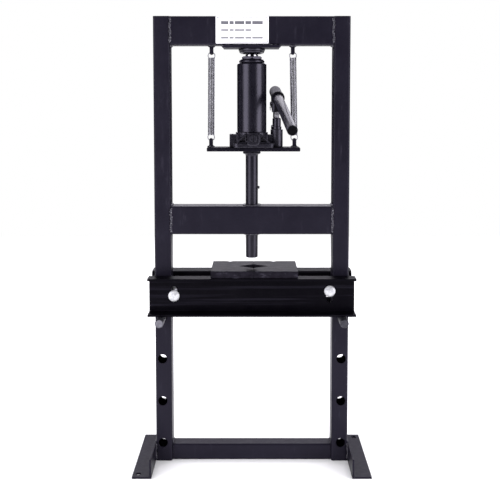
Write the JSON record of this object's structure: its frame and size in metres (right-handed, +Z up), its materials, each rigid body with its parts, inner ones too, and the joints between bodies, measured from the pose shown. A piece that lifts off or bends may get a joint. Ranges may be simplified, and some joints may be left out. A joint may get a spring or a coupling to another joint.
{
  "type": "hydraulic shop press",
  "caption": "Floor-standing H-frame hydraulic shop press: bottle jack with hand pump, spring-returned ram, adjustable bed on pins and arbor plates.",
  "frame": {"origin": "on the floor, at the centre of the bottom bar's underside, midway between the posts", "axes": "+Z up along the posts, +X to the operator's right, -Y towards the operator and the pump handle"},
  "size_m": [0.4926, 0.3734, 0.95],
  "materials": {
    "frame_paint": "satin black powder coat with a violet cast",
    "bed_paint": "satin black powder coat",
    "plate_paint": "satin dark grey powder coat",
    "jack_enamel": "semi-gloss black enamel",
    "cast_enamel": "black enamel over a rough casting",
    "ram_paint": "satin black",
    "handle_paint": "satin dark grey",
    "zinc_plate": "bright zinc plate",
    "dark_steel": "blackened steel",
    "plunger_steel": "bare machined steel",
    "pin_steel": "bare dark steel bar",
    "ground_steel": "ground and polished steel",
    "spring_wire": "drawn spring wire",
    "black_rubber": "matt",
    "label_film": "printed film"
  },
  "bodies": {
    "frame": {"left_post": "frame_paint", "right_post": "frame_paint", "top_beam": "frame_paint", "middle_beam": "frame_paint", "ram_guide": "frame_paint", "bottom_bar": "frame_paint", "left_foot": "frame_paint", "right_foot": "frame_paint", "jack_seat_plate": "frame_paint", "left_upper_lug": "frame_paint", "right_upper_lug": "frame_paint", "label": "label_film", "piston_rod": "ground_steel", "piston_seal": "black_rubber", "left_spring": "spring_wire", "right_spring": "spring_wire"},
    "saddle": {"extension_screw": "dark_steel", "saddle": "jack_enamel"},
    "press_head": {"press_plate": "frame_paint", "ram": "ram_paint", "ram_stop_screw": "dark_steel", "left_lower_lug": "frame_paint", "right_lower_lug": "frame_paint", "jack_base": "cast_enamel", "oil_tank": "jack_enamel", "tank_cap": "jack_enamel", "gland_nut": "jack_enamel", "rod_wiper": "black_rubber", "pressure_cylinder": "ground_steel", "filler_plug": "black_rubber", "suction_ball": "ground_steel", "delivery_ball": "ground_steel", "overload_ball": "ground_steel", "overload_screw": "dark_steel", "release_ball": "ground_steel", "pump_barrel": "jack_enamel", "pump_seal": "black_rubber", "link_lower_pin": "dark_steel"},
    "release_valve": {"release_valve": "dark_steel"},
    "plunger": {"plunger": "plunger_steel", "plunger_pin": "dark_steel", "pin_split_ring": "spring_wire"},
    "pump_link": {"pump_link": "jack_enamel", "link_upper_pin": "dark_steel"},
    "handle_socket": {"handle_socket": "jack_enamel", "socket_collar": "jack_enamel"},
    "handle": {"handle_tube": "handle_paint"},
    "bed": {"front_channel": "bed_paint", "rear_channel": "bed_paint", "left_bolt": "zinc_plate", "right_bolt": "zinc_plate", "left_washer": "zinc_plate", "right_washer": "zinc_plate", "left_nut": "zinc_plate", "right_nut": "zinc_plate"},
    "left_plate": {"left_arbor_plate": "plate_paint"},
    "right_plate": {"right_arbor_plate": "plate_paint"},
    "left_pin": {"left_pin": "pin_steel"},
    "right_pin": {"right_pin": "pin_steel"}
  },
  "joints": [
    {"name": "press_stroke", "type": "slide", "parent": "frame", "child": "press_head", "axis": [0, 0, -1], "range_m": [0, 0.1], "stiffness_N_per_m": 2000, "springref_m": -0.06, "deforming": ["left_spring", "right_spring"]},
    {"name": "saddle_turn", "type": "hinge", "parent": "frame", "child": "saddle", "pos_m": [0, 0, 0.88], "axis": [0, 0, 1], "range_deg": [0, 360]},
    {"name": "release_turn", "type": "hinge", "parent": "press_head", "child": "release_valve", "pos_m": [0.003, -0.0335, 0.696], "axis": [0, -1, 0], "range_deg": [0, 360]},
    {"name": "link_rock", "type": "hinge", "parent": "press_head", "child": "pump_link", "pos_m": [0.05123, 0.02194, 0.716], "axis": [0.9969, 0.0785, 0], "range_deg": [0, 6]},
    {"name": "handle_pump", "type": "hinge", "parent": "pump_link", "child": "handle_socket", "pos_m": [0.05123, 0.02194, 0.7675], "axis": [-0.9969, -0.0785, 0], "range_deg": [0, 60]},
    {"name": "plunger_travel", "type": "slide", "parent": "press_head", "child": "plunger", "axis": [0, 0, 1], "range_m": [0, 0.01734]},
    {"name": "handle_pull", "type": "slide", "parent": "handle_socket", "child": "handle", "axis": [0.0761, -0.9665, -0.2453], "range_m": [0, 0.045]},
    {"name": "bed_lift", "type": "slide", "parent": "frame", "child": "bed", "axis": [0, 0, 1], "range_m": [0, 0.065]},
    {"name": "left_plate_slide", "type": "slide", "parent": "bed", "child": "left_plate", "axis": [-1, 0, 0], "range_m": [0, 0.06]},
    {"name": "right_plate_slide", "type": "slide", "parent": "bed", "child": "right_plate", "axis": [1, 0, 0], "range_m": [0, 0.06]},
    {"name": "left_pin_pull", "type": "slide", "parent": "frame", "child": "left_pin", "axis": [0, -1, 0], "range_m": [0, 0.1]},
    {"name": "right_pin_pull", "type": "slide", "parent": "frame", "child": "right_pin", "axis": [0, -1, 0], "range_m": [0, 0.1]}
  ],
  "couplings": [
    {"joint": "link_rock", "follows": "handle_pump", "ratio": 0.1},
    {"joint": "plunger_travel", "follows": "handle_pump", "m_per_rad": 0.016558}
  ]
}
